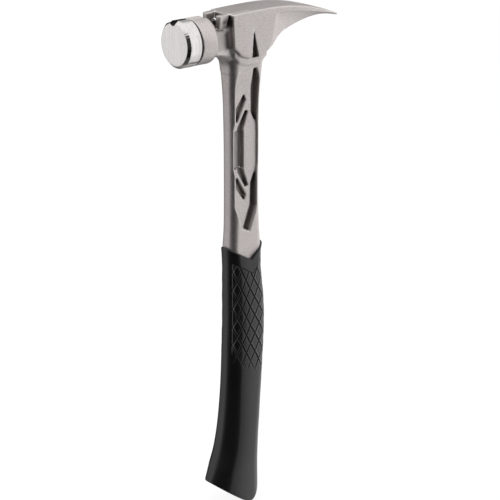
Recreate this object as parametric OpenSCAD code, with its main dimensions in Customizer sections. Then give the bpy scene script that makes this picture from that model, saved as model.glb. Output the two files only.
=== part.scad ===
/* [Hammer] */
// Height from the butt to the crown of the head
hammer_h = 397; // [360:1:430]
// Reach of the striking face in front of the shaft's middle
face_reach = 61; // [58:0.5:66]
// Reach of the claw tips behind the shaft's middle
claw_reach = 87; // [80:0.5:100]
// Depth of the striking axis below the crown
poll_drop = 19.2; // [18.6:0.1:20.5]

/* [Head] */
// Width over the two cheek plates
cheek_w = 27.6; // [25:0.2:32]
// Reach of the cheeks in front of the shaft's middle
cheek_reach = 17.5; // [16:0.5:20]
// Depth of the cheek plates below the crown
cheek_h = 37.6; // [35:0.2:40]
// Width of the collar that steps in under the cheeks
collar_w = 22; // [20:0.2:24]
// How far the collar shows below the cheek plates
collar_step = 3.7; // [2:0.1:6]
// Radius of the crown in front of its highest line
crown_front_r = 570; // [450:10:800]
// Radius of the crown along the claw
crown_rear_r = 175; // [150:1:190]
// Where the crown is highest, behind the shaft's middle
crown_peak = 18; // [14:0.5:20]
// Length of the nail slot between the claw tips
claw_slot_l = 34; // [25:1:40]
// Width of the nail slot at the claw tips
claw_slot_w = 9; // [7:0.2:10]
// Bevel of the head's long edges
head_edge = 0.8; // [0.4:0.1:1.2]

/* [Side nail puller] */
// Width of the puller at its open end
puller_w = 7.2; // [6:0.1:8]
// Height of the puller from the cheek's lower edge to its tip
puller_h = 20; // [17:0.2:22]
// Depth of the puller into the cheek
puller_depth = 5.2; // [4.4:0.1:5.6]
// Place of the puller's tip behind the shaft's middle
puller_x = 2.1; // [0:0.1:4]
// How far the middle of the puller's open end lies behind its tip
puller_lean = 1.5; // [0:0.1:2]

/* [Poll] */
// Diameter of the bell behind the steel face
bell_d = 35.2; // [33:0.2:37]
// Length of the bell
bell_l = 12.3; // [10:0.1:13]
// Length of the taper from the bell to the neck
bell_taper_l = 3.5; // [3:0.1:6]
// Width of the neck
neck_w = 14; // [12:0.2:16]
// Height of the neck
neck_h = 22; // [20:0.2:24]
// Radius of the neck's long edges
neck_edge_r = 4; // [2:0.2:5]
// Radius of the throat between neck and shaft
throat_r = 9; // [7:0.5:12]
// Diameter of the spigot that centres the steel face
spigot_d = 24; // [22:0.2:26]
// Depth of the spigot in the steel face
spigot_l = 4.4; // [3:0.1:5]

/* [Steel face] */
// Diameter of the flat striking face
face_d = 31.4; // [29:0.2:33]
// Bevel round the striking face
face_bevel = 2.1; // [1:0.1:2.6]
// Thickness of the steel face
face_l = 12.4; // [11:0.1:15]
// Length of the screw's thread in the steel face
thread_l = 5; // [4:0.1:5.5]
// Thickness of the seal ring
seal_t = 1; // [0.6:0.1:2]
// How far the seal ring lies under the bell's surface
seal_inset = 0.5; // [0.3:0.1:1]

/* [Nail start] */
// Width of the nail groove along the poll
groove_w = 7; // [6.4:0.1:9]
// Depth of the nail groove
groove_depth = 3; // [2:0.1:3.4]
// Width of the boss that holds the nail's head
boss_w = 19.4; // [18.6:0.2:20.6]
// Reach of the boss in front of the shaft's middle
boss_reach = 27; // [26:0.5:28.5]
// Length of the boss's side faces at their top
boss_top_l = 6.6; // [5:0.1:7.5]
// Length of the boss's side faces at their foot
boss_foot_l = 2.7; // [2:0.1:4]
// Width of the boss behind its side faces
boss_core_w = 12.4; // [12:0.2:14]
// Depth of the boss below its top
boss_h = 11; // [9.5:0.2:12]
// Level that the boss and its slot are counted from, below the crown
boss_drop = 1.4; // [1:0.1:2]
// Width of the slot for the nail's head
nail_slot_w = 10.6; // [9:0.2:11.4]
// Length of the slot for the nail's head
nail_slot_l = 7.5; // [6.4:0.1:8]
// Depth of the slot for the nail's head
nail_slot_h = 9.6; // [8:0.1:10]
// Diameter of the round magnet
magnet_d = 9; // [7:0.1:9.4]
// Top of the magnet below the crown
magnet_drop = 4.5; // [4.3:0.1:5]
// Length of the magnet
magnet_l = 5.3; // [4:0.1:6]
// Edge of the magnet
magnet_edge = 0.6; // [0.3:0.1:0.9]

/* [Face screw] */
// Diameter of the screw's shank
screw_d = 8; // [7:0.2:8.4]
// Diameter of the screw's head
screw_head_d = 13; // [12:0.2:13.4]
// Height of the screw's head
screw_head_h = 8; // [6:0.2:9]
// Size of the hexagon socket across its flats
socket_af = 6; // [4:0.5:6.5]
// Depth of the hexagon socket
socket_depth = 4; // [2:0.2:5]
// Place of the screw's seat in front of the shaft's middle
seat_x = 2; // [0:0.2:4]
// Thickness of the lock washer
washer_t = 2; // [1:0.1:2.6]
// Length of the counterbore that opens behind the head
counterbore_l = 37; // [30:0.5:44]
// Radius of the groove that lets a key reach the screw
key_groove_r = 4; // [3:0.1:4.6]
// Length of that groove behind the shaft's middle
key_groove_l = 60; // [50:1:66]
// Diameter of the pin that keeps the face from turning
pin_d = 4; // [3:0.1:4.4]
// Length of that pin
pin_l = 8; // [6:0.2:8.6]
// Place of that pin below the striking axis
pin_drop = 8.4; // [8:0.1:8.8]

/* [Shaft] */
// Length of the shaft's section, front to back
shaft_l = 27; // [26:0.2:30]
// Width of the shaft's section
shaft_w = 15.6; // [15:0.2:18]
// Corner radius of the shaft's section
shaft_r = 6; // [4:0.2:6.6]
// Thickness of the web between the two side pockets
web_t = 2.4; // [2:0.1:5]
// Rise of the raised panel over the web
panel_rise = 4.2; // [2:0.1:4.8]
// Middle of the side pockets below the crown
pocket_drop = 107; // [104:0.5:110]
// Half length of the side pockets
pocket_half = 64; // [58:0.5:66]

/* [Grip] */
// Height of the grip's front lip
grip_h = 213; // [195:1:218]
// Length of the grip's section near its top
grip_l = 30.4; // [30:0.2:34]
// Width of the grip's section near its top
grip_w = 20; // [19:0.2:24]
// Drop of the lip from the front to the middle of each side
lip_drop = 9.5; // [6:0.1:14]
// Rise of the lip at the back over the front
lip_rise = 2.5; // [0:0.1:6]
// Height of one diamond
diamond_h = 15; // [13:0.5:17]
// Depth of the grooves between the diamonds
diamond_depth = 0.9; // [0.4:0.1:1.2]
// Top of the diamonds below the grip's front lip
diamond_top = 10; // [8:0.5:14]
// Length of the diamond field at the front
diamond_l = 75; // [60:1:80]
// How much longer the field is at the back
diamond_skew = 24; // [10:1:28]
// Rise of the butt from its lowest line to the toe
toe_rise = 20.6; // [14:0.2:24]
// Rise of the butt behind its lowest line
heel_rise = 4; // [2:0.2:6]
// Rounding of the butt's edge
butt_r = 2.6; // [1.5:0.1:3.5]
// Height of the tang's end over the ground
tang_low = 42; // [36:1:60]

/* [Hidden] */
$fn = 64;
// Clearance between the fitted pieces
fit = 0.1;
// Clearance round the screw in the titanium
screw_play = 0.25;
// Overrun of every cut
over = 1;

// Colours of the pieces
titanium_colour = "#b9b2ae";
steel_colour = "#dedcd8";
dark_colour = "#3a3a3c";
rubber_colour = "#2b2b2b";

// The part is drawn about the shaft's middle, then centred between face and claw
centre_shift = (face_reach - claw_reach) / 2;
cheek_half = cheek_w / 2;
poll_z = hammer_h - poll_drop;
face_r = face_d / 2;
cap_r = face_r + face_bevel;
bell_r = bell_d / 2;
// Planes along the poll, all in front of the shaft's middle
cap_back = face_reach - face_l;
bell_front = cap_back - seal_t;
bell_back = bell_front - bell_l;
spigot_front = cap_back + spigot_l;
thread_front = spigot_front + thread_l;
head_span = cheek_reach + claw_reach;
// The top of a round groove of this width and depth
groove_r = (pow(groove_w / 2, 2) + pow(groove_depth, 2)) / (2 * groove_depth);

// Share of the head's span, then shares of cheek_h for crease and lower edge,
// then shares of half the cheek width for the side and the lower edge
head_shares = [
    [0.000, 0.65, 0.69, 1.00, 0.97], [0.024, 0.70, 0.74, 1.00, 0.97], [0.072, 0.83, 0.87, 1.00, 0.97],
    [0.130, 0.92, 0.957, 1.00, 0.97], [0.188, 0.96, 0.995, 1.00, 0.97], [0.236, 0.965, 1.00, 1.00, 0.97],
    [0.284, 0.91, 0.945, 1.00, 0.97], [0.332, 0.79, 0.835, 1.00, 0.96], [0.360, 0.60, 0.773, 1.00, 0.93],
    [0.389, 0.24, 0.710, 1.00, 0.90], [0.427, 0.138, 0.632, 1.00, 0.82], [0.466, 0.138, 0.562, 1.00, 0.72],
    [0.562, 0.160, 0.487, 1.00, 0.54], [0.668, 0.205, 0.415, 0.98, 0.47], [0.784, 0.265, 0.368, 0.90, 0.43],
    [0.861, 0.308, 0.362, 0.85, 0.45], [0.947, 0.350, 0.383, 0.79, 0.55],
    [1.000, 0.398, 0.410, 0.70, 0.60]];
// Shares of the bell's radius and of its taper's length, from the neck to the bell
bell_shares = [[0.62, 1], [0.82, 0.72], [0.94, 0.36], [0.985, 0.08], [1, -0.1]];
// Radius of the nail slot's end as a share of its width at the tips
claw_root_share = 0.09;
// Number of the first stations that the collar under the cheeks follows
collar_stations = 8;

// Share of the way from the tang's end to the head, then shares of half the section's
// length in front and behind, and of half its width
shaft_top = hammer_h - poll_drop - neck_h / 2;
shaft_shares = [
    [0.000, 1.00, 0.46, 0.70], [0.14, 0.92, 0.69, 0.83], [0.28, 0.88, 0.96, 0.90],
    [0.46, 0.93, 0.98, 0.92], [0.495, 1.00, 1.03, 1.00], [0.525, 1.06, 1.10, 1.06],
    [0.545, 1.03, 1.06, 1.03], [0.575, 1.00, 1.01, 1.00], [0.645, 0.975, 0.955, 1.00],
    [0.71, 0.97, 0.955, 1.00], [0.77, 0.975, 0.975, 1.00], [0.83, 0.99, 0.98, 1.00],
    [0.87, 1.01, 1.00, 1.01], [0.905, 1.045, 1.045, 1.04], [0.938, 1.08, 1.09, 1.13],
    [0.968, 1.10, 1.10, 1.30], [1.000, 1.11, 0.95, 1.38]];

// Share of the grip's height, then shares of half its length in front and behind,
// and of half its width
grip_shares = [
    [0.156, 1.74, 0.77, 1.32], [0.212, 1.51, 0.81, 1.28], [0.269, 1.355, 0.865, 1.23],
    [0.330, 1.25, 0.94, 1.18], [0.387, 1.165, 1.00, 1.14], [0.448, 1.105, 1.07, 1.11],
    [0.542, 1.055, 1.16, 1.10], [0.637, 1.02, 1.24, 1.10], [0.730, 0.98, 1.27, 1.09],
    [0.790, 0.975, 1.235, 1.08], [0.920, 0.975, 1.04, 1.01], [0.975, 1.01, 1.02, 0.97],
    [1.00, 1.03, 1.045, 0.97]];
// Shares at the butt's edge
butt_shares = [2.10, 0.76, 1.35];
// Share of the way from toe to heel where the butt is lowest
butt_low_share = 0.72;
// Corner radius of the grip as a share of half its width
grip_r_share = 0.84;
// Shares of half the shaft's length and of the pocket's half length
pocket_shares = [
    [-0.61, 0.95], [0.22, 0.975], [0.56, 0.965], [0.81, 0.83], [0.74, 0.57], [0.68, 0.33],
    [0.735, 0.22], [0.735, -0.22], [0.64, -0.31], [0.62, -0.72], [0.15, -1.0], [-0.22, -0.96],
    [-0.80, -0.67], [-0.80, -0.30], [-0.90, -0.21], [-0.90, 0.25], [-0.785, 0.33], [-0.785, 0.77],
    [-0.74, 0.87]];
panel_shares = [
    [-1.2, 1.1], [0.40, 1.1], [0.40, 0.433], [0.68, 0.315], [0.80, 0.21], [0.80, -0.225],
    [0.62, -0.31], [0.37, -0.43], [0.34, -0.69], [-0.12, -0.96], [-0.5, -1.1], [-1.2, -1.1]];
channel_shares = [[-1.2, 0.225], [-0.155, 0.225], [-0.155, -0.225], [-1.2, -0.225]];
outer_rib_shares = [[-0.123, 0.65], [-0.03, 0.587], [-0.62, 0.345], [-0.62, 0.50]];
inner_rib_shares = [[0.0, 0.459], [0.123, 0.45], [-0.26, 0.22], [-0.56, 0.22], [-0.54, 0.262]];

// Front of the shaft under the throat as a share of half its length
throat_share = 1.07;

// Points round one section of a lofted piece
ring_n = 48;
// Diamonds have this many steps of the grid from groove to groove
diamond_steps = 4;
// Columns of the grid on each side of the front that stay smooth
smooth_columns = 4;

function mix(a, b, t) = a + (b - a) * t;

// A value of a table of shares, looked up by its first column
function share(table, t, column) = lookup(t, [for (row = table) [row[0], row[column]]]);

// A point on the first quarter of a rounded rectangle, at distance d along its line
function quarter_point(d, x, y, r) =
    d < y - r ? [x, d]
    : d < y - r + r * PI / 2
        ? let (a = (d - y + r) / r * 180 / PI) [x - r + r * cos(a), y - r + r * sin(a)]
        : [x - r - (d - (y - r) - r * PI / 2), y];
// A point on the whole rectangle, t from 0 to 1 from the back round by both sides
function ring_point(t, front, back, half_w, r) =
    let (q = floor(t * 4) % 4, u = t * 4 - floor(t * 4),
        x = q == 0 || q == 3 ? back : front,
        d = (q % 2 == 0 ? u : 1 - u) * (x + half_w - 2 * r + r * PI / 2),
        p = quarter_point(d, x, half_w, r))
    [q == 0 || q == 3 ? p[0] : -p[0], q < 2 ? p[1] : -p[1]];

// Faces of a tube through rings of n points, the first ring's side facing down
function side_faces(n, rings) = [for (j = [0 : rings - 2]) for (i = [0 : n - 1])
    let (a = j * n + i, b = j * n + (i + 1) % n, c = a + n, d = b + n)
    each [[a, c, b], [b, c, d]]];

// A fan of faces from one point to a ring that starts at point number first
function fan_down(centre, first, n) = [for (i = [0 : n - 1]) [centre, first + i, first + (i + 1) % n]];
function fan_up(centre, first, n) = [for (i = [0 : n - 1]) [centre, first + (i + 1) % n, first + i]];

function column_mean(points) =
    [for (k = [0 : 2]) [for (p = points) 1] * [for (p = points) p[k]] / len(points)];

// A solid through rings of points, closed by a fan at each end
module loft(rings) {
    n = len(rings[0]);
    count = len(rings);
    centres = [column_mean(rings[0]), column_mean(rings[count - 1])];
    polyhedron(concat([for (ring = rings) each ring], centres),
        concat(fan_down(count * n, 0, n), side_faces(n, count), fan_up(count * n + 1, (count - 1) * n, n)));
}

// Drop of the crown below its highest line
function crown_drop(x) =
    let (r = x < crown_peak ? crown_front_r : crown_rear_r)
    r - sqrt(pow(r, 2) - pow(x - crown_peak, 2));

// One section of the cheeks and claw, seen along the head
function head_section(row) =
    let (x = row[0] * head_span - cheek_reach, top = hammer_h - crown_drop(x),
        crease = min(hammer_h - row[1] * cheek_h, top - head_edge * 1.4),
        low = min(hammer_h - row[2] * cheek_h, crease - head_edge * 0.3),
        w = row[3] * cheek_half, w_low = row[4] * cheek_half)
    [[x, w_low, low], [x, w, crease], [x, w, top - head_edge], [x, w - head_edge, top],
    [x, head_edge - w, top], [x, -w, top - head_edge], [x, -w, crease], [x, -w_low, low]];

// Draws an outline of the head's side view through a width, middle on the head
module side_slab(width) {
    translate([0, width / 2, 0]) rotate([90, 0, 0]) linear_extrude(width) children();
}

// Turns a shape drawn up the Z axis to lie along the poll, its top at the face
module along_poll() {
    translate([0, 0, poll_z]) rotate([0, -90, 0]) children();
}

module placed() {
    translate([centre_shift, 0, 0]) children();
}

module cheeks_and_claw() {
    difference() {
        loft([for (row = head_shares) head_section(row)]);
        claw_slot();
    }
}

// The wedge-shaped slot between the claw tips, round where it ends
module claw_slot() {
    root = claw_reach - claw_slot_l;
    root_r = claw_slot_w * claw_root_share;
    translate([0, 0, hammer_h - cheek_h]) linear_extrude(cheek_h + over) {
        polygon([[root, -root_r], [claw_reach + over, -claw_slot_w / 2],
            [claw_reach + over, claw_slot_w / 2], [root, root_r]]);
        translate([root, 0]) circle(root_r);
    }
}

module side_pullers() {
    low = hammer_h - cheek_h;
    for (side = [0, 1]) mirror([0, side, 0])
        translate([puller_x, puller_depth - cheek_half, low]) rotate([90, 0, 0])
            linear_extrude(puller_depth + over)
                polygon([[0, puller_h], [puller_lean - puller_w / 2, 0],
                    [puller_lean - puller_w / 2, -over], [puller_lean + puller_w / 2, -over],
                    [puller_lean + puller_w / 2, 0]]);
}

module collar() {
    outline = [for (i = [0 : collar_stations - 1]) let (row = head_shares[i])
        [row[0] * head_span - cheek_reach, hammer_h - row[2] * cheek_h - collar_step]];
    side_slab(collar_w)
        polygon(concat(outline, [[outline[collar_stations - 1][0], poll_z], [-cheek_reach, poll_z]]));
}

module shaft() {
    loft([for (row = shaft_shares) let (z = mix(tang_low, shaft_top, row[0]))
        [for (i = [0 : ring_n - 1])
            let (p = ring_point(i / ring_n, row[1] * shaft_l / 2, row[2] * shaft_l / 2,
                row[3] * shaft_w / 2, min(shaft_r, row[3] * shaft_w / 2 - fit)))
            [p[0], p[1], z]]]);
}

module share_outline(shares) {
    polygon([for (p = shares) [p[0] * shaft_l / 2, p[1] * pocket_half]]);
}

// The panel that stays standing in each pocket, with its slanting ribs
module panel_outline() {
    difference() {
        share_outline(panel_shares);
        share_outline(channel_shares);
        for (end = [0, 1]) mirror([0, end]) {
            share_outline(outer_rib_shares);
            share_outline(inner_rib_shares);
        }
    }
}

module side_pockets() {
    for (side = [0, 1]) mirror([0, side, 0])
        translate([0, -web_t / 2, hammer_h - pocket_drop]) rotate([90, 0, 0]) difference() {
            linear_extrude(shaft_w) share_outline(pocket_shares);
            linear_extrude(panel_rise) panel_outline();
        }
}

module bell() {
    along_poll() rotate_extrude(convexity = 2) polygon(concat(
        [[0, boss_reach - over], [neck_w / 2, boss_reach - over], [neck_w / 2, bell_back - bell_taper_l]],
        [for (p = bell_shares) [p[0] * bell_r, bell_back - p[1] * bell_taper_l]],
        [[bell_r, bell_front - head_edge / 2], [bell_r - head_edge / 2, bell_front],
        [spigot_d / 2, bell_front], [spigot_d / 2, spigot_front - fit], [0, spigot_front - fit]]));
}

// The neck runs from the bell into the cheeks, its lower side curved into the shaft
module neck() {
    low = hammer_h - boss_drop - boss_h - neck_h;
    throat = shaft_l / 2 * throat_share + throat_r;
    translate([-bell_back, 0, low + neck_h / 2]) rotate([90, 0, 90]) linear_extrude(bell_back)
        offset(neck_edge_r) square([neck_w - 2 * neck_edge_r, neck_h - 2 * neck_edge_r], center = true);
    side_slab(neck_w) difference() {
        translate([-throat, low - throat_r]) square([throat, throat_r + neck_edge_r]);
        translate([-throat, low - throat_r]) circle(throat_r);
    }
}

// The boss's top carries the crown on, and slants cut its sides free of the cheeks
module boss() {
    low = hammer_h - boss_drop - boss_h;
    front = hammer_h - crown_drop(-boss_reach);
    side_slab(boss_core_w) polygon([[0, low], [0, front],
        [-cheek_reach, hammer_h - crown_drop(-cheek_reach)], [-boss_reach, front], [-boss_reach, low]]);
    side_slab(boss_w) polygon([[boss_foot_l - boss_reach, low], [boss_top_l - boss_reach, front],
        [-boss_reach, front], [-boss_reach, low]]);
}

module nail_slot() {
    top = hammer_h - boss_drop;
    translate([-boss_reach - over, -nail_slot_w / 2, top - nail_slot_h])
        cube([nail_slot_l + over, nail_slot_w, nail_slot_h + over]);
    translate([nail_slot_l - boss_reach + fit, 0, magnet_z()]) rotate([0, -90, 0])
        cylinder(d = magnet_d + 2 * fit, h = nail_slot_l + over);
}

function magnet_z() = hammer_h - magnet_drop - magnet_d / 2;

// The round groove that a nail lies in, cut along the top of the poll
module nail_groove() {
    translate([0, 0, hammer_h - poll_drop + cap_r - groove_depth + groove_r]) rotate([0, -90, 0])
        cylinder(r = groove_r, h = face_reach + over);
}

module screw_bores() {
    along_poll() {
        cylinder(r = screw_d / 2 + screw_play, h = face_reach);
        translate([0, 0, seat_x - counterbore_l])
            cylinder(r = screw_head_d / 2 + screw_play, h = counterbore_l);
        translate([0, 0, -key_groove_l]) cylinder(r = key_groove_r, h = key_groove_l);
    }
    translate([0, 0, -pin_drop]) along_poll() translate([0, 0, spigot_front - pin_l / 2 - fit])
        cylinder(r = pin_d / 2 + fit, h = pin_l);
}

module titanium_frame() {
    color(titanium_colour) placed() difference() {
        union() {
            cheeks_and_claw();
            collar();
            difference() {
                shaft();
                side_pockets();
            }
            bell();
            neck();
            boss();
        }
        side_pullers();
        nail_groove_stop();
        nail_slot();
        screw_bores();
    }
}

// The groove ends behind the bell, so that it never reaches the cheeks
module nail_groove_stop() {
    intersection() {
        nail_groove();
        translate([-face_reach - over, -groove_w, poll_z])
            cube([face_reach - bell_back + bell_taper_l + over, 2 * groove_w, bell_d]);
    }
}

module striking_face() {
    color(steel_colour) placed() difference() {
        along_poll() rotate_extrude() polygon([
            [0, cap_back], [cap_r - head_edge / 2, cap_back], [cap_r, cap_back + head_edge / 2],
            [cap_r, face_reach - face_bevel], [face_r, face_reach], [0, face_reach]]);
        along_poll() {
            translate([0, 0, cap_back - over]) cylinder(r = spigot_d / 2 + fit, h = spigot_l + over);
            cylinder(r = screw_d / 2 + fit, h = thread_front);
        }
        translate([0, 0, -pin_drop]) along_poll()
            cylinder(r = pin_d / 2 + fit, h = spigot_front + pin_l / 2 + fit);
        nail_groove();
    }
}

module face_seal_ring() {
    color(dark_colour) placed() difference() {
        along_poll() rotate_extrude() translate([spigot_d / 2 + fit, bell_front])
            square([bell_r - seal_inset - spigot_d / 2 - fit, seal_t]);
        nail_groove();
    }
}

module face_key_pin() {
    color(steel_colour) placed() translate([0, 0, -pin_drop]) along_poll()
        translate([0, 0, spigot_front - pin_l / 2]) cylinder(d = pin_d, h = pin_l);
}

module face_screw() {
    head_low = seat_x - washer_t;
    color(dark_colour) placed() along_poll() difference() {
        union() {
            translate([0, 0, head_low]) cylinder(d = screw_d, h = thread_front - fit - head_low);
            translate([0, 0, head_low - screw_head_h]) cylinder(d = screw_head_d, h = screw_head_h);
        }
        translate([0, 0, head_low - screw_head_h - over])
            cylinder(d = socket_af / cos(30), h = socket_depth + over, $fn = 6);
    }
}

module lock_washer() {
    color(steel_colour) placed() along_poll() translate([0, 0, seat_x - washer_t])
        rotate_extrude() translate([screw_d / 2 + fit, 0])
            square([(screw_head_d - screw_d) / 2 - fit, washer_t]);
}

module nail_magnet() {
    color(steel_colour) placed() translate([nail_slot_l - boss_reach, 0, magnet_z()]) rotate([0, -90, 0]) {
        cylinder(d = magnet_d, h = magnet_l - magnet_edge);
        translate([0, 0, magnet_l - magnet_edge])
            cylinder(d1 = magnet_d, d2 = magnet_d - 2 * magnet_edge, h = magnet_edge);
    }
}

// Height of the butt's end below each point from toe to heel
function butt_z(u) = toe_rise * pow(max(0, 1 - u / butt_low_share), 1.15)
    + heel_rise * pow(max(0, (u - butt_low_share) / (1 - butt_low_share)), 2);

// Height of the lip over the grip's front lip, lowest in the middle of each side
function lip_z(u) = u < 0.5 ? -lip_drop * u * 2 : mix(-lip_drop, lip_rise, u * 2 - 1);

function grip_ring(row, inset) = [for (i = [0 : ring_n - 1])
    let (half_w = row[2] * grip_w / 2 - inset)
    ring_point(i / ring_n, row[0] * grip_l / 2 - inset, row[1] * grip_l / 2 - inset, half_w,
        half_w * grip_r_share)];
function grip_row(z) = [for (column = [1 : 3]) share(grip_shares, z / grip_h, column)];
function along_share(p, row) = (p[0] + row[0] * grip_l / 2) / ((row[0] + row[1]) * grip_l / 2);

// Whether column i of row j lies in one of the two sets of slanting grooves
function in_groove(i, j) = (i + j) % diamond_steps == 0 || (j - i) % diamond_steps == 0;
function in_field(i, z, u) =
    abs(i - ring_n / 2) > smooth_columns
    && z < grip_h - diamond_top + lip_z(u)
    && z > grip_h - diamond_top - diamond_l - diamond_skew * u;

grid_step = diamond_h / diamond_steps;
field_rows = ceil((diamond_l + diamond_skew + diamond_top) / grid_step) + 2;
field_low = grip_h - field_rows * grid_step;
lower_rows = 6;
waist_z = grip_shares[0][0] * grip_h;

// Rings of the grip from the butt up to the lip
butt_rings = [for (ring = [[0, butt_r * 1.2], [butt_r * 0.3, butt_r * 0.4], [butt_r, 0]])
    let (points = grip_ring(butt_shares, ring[1]))
    [for (p = points) [p[0], p[1], butt_z(along_share(p, butt_shares)) + ring[0]]]];
toe_rings = [for (t = [0.5, 1])
    let (row = [for (k = [0 : 2]) mix(butt_shares[k], grip_shares[0][k + 1], t)],
        points = grip_ring(row, 0))
    [for (p = points) [p[0], p[1], mix(butt_z(along_share(p, row)) + butt_r, waist_z, t)]]];
lower_rings = [for (k = [1 : lower_rows])
    let (z = mix(waist_z, field_low, k / (lower_rows + 1)))
    [for (p = grip_ring(grip_row(z), 0)) [p[0], p[1], z]]];
field_rings = [for (j = [0 : field_rows])
    let (z = min(field_low + j * grid_step, grip_h), row = grip_row(z),
        high = grip_ring(row, 0), low = grip_ring(row, diamond_depth))
    [for (i = [0 : ring_n - 1])
        let (u = along_share(high[i], row),
            p = in_field(i, z, u) && in_groove(i, j) ? low[i] : high[i])
        [p[0], p[1], z + (j == field_rows ? lip_z(u) : min(0, lip_z(u)) * pow(j / field_rows, 6))]]];
outer_rings = concat(butt_rings, toe_rings, lower_rings, field_rings);

// Faces of the grip's outside, split along the grooves
function grid_faces(rings) = [for (j = [0 : rings - 2]) for (i = [0 : ring_n - 1])
    let (a = j * ring_n + i, b = j * ring_n + (i + 1) % ring_n, c = a + ring_n, d = b + ring_n,
        row = j - (rings - 1 - field_rows))
    each (row >= 0 && (row - i) % diamond_steps == 0
        ? [[a, c, d], [a, d, b]] : [[a, c, b], [b, c, d]])];

module grip() {
    count = len(outer_rings);
    low = count * ring_n;
    top_centre = [0, 0, grip_h - lip_drop / 2];
    color(rubber_colour) placed() difference() {
        polyhedron(concat([for (ring = outer_rings) each ring], [[0, 0, 0], top_centre]),
            concat(fan_down(low, 0, ring_n), grid_faces(count), fan_up(low + 1, low - ring_n, ring_n)));
        shaft();
    }
}

titanium_frame();
striking_face();
face_seal_ring();
face_key_pin();
face_screw();
lock_washer();
nail_magnet();
grip();
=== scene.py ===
from functools import reduce

import bmesh
import bpy
import numpy as np
from mathutils import Matrix, Vector


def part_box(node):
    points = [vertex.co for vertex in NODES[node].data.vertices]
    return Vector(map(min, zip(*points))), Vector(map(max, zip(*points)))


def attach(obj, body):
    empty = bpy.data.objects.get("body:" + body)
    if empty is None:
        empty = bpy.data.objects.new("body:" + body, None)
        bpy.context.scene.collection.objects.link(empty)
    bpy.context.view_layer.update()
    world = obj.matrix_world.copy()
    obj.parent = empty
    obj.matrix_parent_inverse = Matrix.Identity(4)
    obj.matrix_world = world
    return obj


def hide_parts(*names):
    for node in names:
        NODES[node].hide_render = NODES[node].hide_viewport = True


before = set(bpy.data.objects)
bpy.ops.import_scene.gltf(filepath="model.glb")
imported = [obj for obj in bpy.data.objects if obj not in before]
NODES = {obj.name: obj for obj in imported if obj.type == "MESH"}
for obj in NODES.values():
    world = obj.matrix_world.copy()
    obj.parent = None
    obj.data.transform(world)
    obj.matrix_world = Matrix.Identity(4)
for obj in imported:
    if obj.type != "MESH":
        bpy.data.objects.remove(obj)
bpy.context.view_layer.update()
MM = 0.001

# Places read from the frame, in millimetres
FACE_LOW, FACE_HIGH = (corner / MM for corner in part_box("striking_face"))
CASTING_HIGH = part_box("titanium_frame")[1] / MM
GRIP_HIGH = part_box("grip")[1] / MM
SEAL_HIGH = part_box("face_seal_ring")[1] / MM
MAGNET_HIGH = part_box("nail_magnet")[1] / MM
HAMMER_H = CASTING_HIGH.z
# Reach of the steel face ahead of the shaft's middle, and drop of the poll's axis
FACE_REACH, POLL_DROP = 61.0, 19.2
SHAFT_X = FACE_LOW.x + FACE_REACH
CLAW_REACH = CASTING_HIGH.x - SHAFT_X
POLL_Z = HAMMER_H - POLL_DROP

# Head. x counts from the shaft's middle towards the claw, ahead from there to the face
CHEEK_HALF = 13.8
CHEEK_REACH = 17.5
CHEEK_LEAN = 1.9
CHEEK_H = 37.6
CHEEK_FRONT_R, CREASE_R, SIDE_EDGE, TIP_EDGE = 1.3, 0.3, 0.5, 0.2
# How far the cheek's front stands proud, and the crown's edge as a share of the head's
# height with its least and most
FRONT_PROUD, CROWN_EDGE, LOW_EDGE_MOST = 0.4, (0.3, 0.35, 1.3), 0.9
COLLAR_HALF, COLLAR_STEP = 11.0, 5.0
COLLAR_FRONT, COLLAR_END, COLLAR_TOP = 14.4, 16.4, 30.0
COLLAR_EDGE, COLLAR_FRONT_R, COLLAR_FILLET = 1.4, 1.2, 0.7
CROWN_FRONT_R, CROWN_REAR_R, CROWN_PEAK = 680.0, 175.0, 18.0
CROWN_CAMBER = 0.35
HEAD_SPAN = CHEEK_REACH + CLAW_REACH
# Share of the head's span, shares of the cheek's height for the crease and the lower
# edge, and shares of half its width for the side and the lower edge
HEAD_SHARES = [
    (0.000, 0.65, 0.69, 1.00, 0.97), (0.024, 0.70, 0.74, 1.00, 0.97),
    (0.072, 0.83, 0.87, 1.00, 0.97), (0.130, 0.90, 0.935, 1.00, 0.97),
    (0.188, 0.918, 0.953, 1.00, 0.97), (0.236, 0.918, 0.953, 1.00, 0.97),
    (0.284, 0.88, 0.915, 1.00, 0.97), (0.332, 0.79, 0.835, 1.00, 0.96),
    (0.360, 0.60, 0.786, 1.00, 0.93), (0.389, 0.24, 0.727, 1.00, 0.90),
    (0.427, 0.138, 0.657, 1.00, 0.82), (0.466, 0.138, 0.602, 1.00, 0.72),
    (0.562, 0.160, 0.520, 1.00, 0.54), (0.668, 0.205, 0.445, 0.98, 0.47),
    (0.784, 0.265, 0.391, 0.90, 0.43), (0.861, 0.308, 0.375, 0.85, 0.45),
    (0.947, 0.350, 0.392, 0.79, 0.55), (1.000, 0.398, 0.422, 0.70, 0.60),
]
# The crease under the crown is a step, which runs out towards the shaft and the tips
CREASE_STEP, CREASE_START, CREASE_END = 1.1, (20, 27), (84, 74)
CLAW_SLOT_L, CLAW_SLOT_W, CLAW_ROOT_R = 34.0, 9.0, 0.8
CLAW_CHAMFER, CHAMFER_SLOPE = 1.5, 0.8
PULLER_X, PULLER_W, PULLER_H, PULLER_DEPTH = 2.1, 6.5, 21.2, 5.2
PULLER_LEAN, PULLER_FOOT, PULLER_EDGE, PULLER_FLOOR_R = 1.5, 36.0, 0.7, 0.6
# Cosine of the slant of the puller's sides
PULLER_SLANT = 0.98

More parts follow.
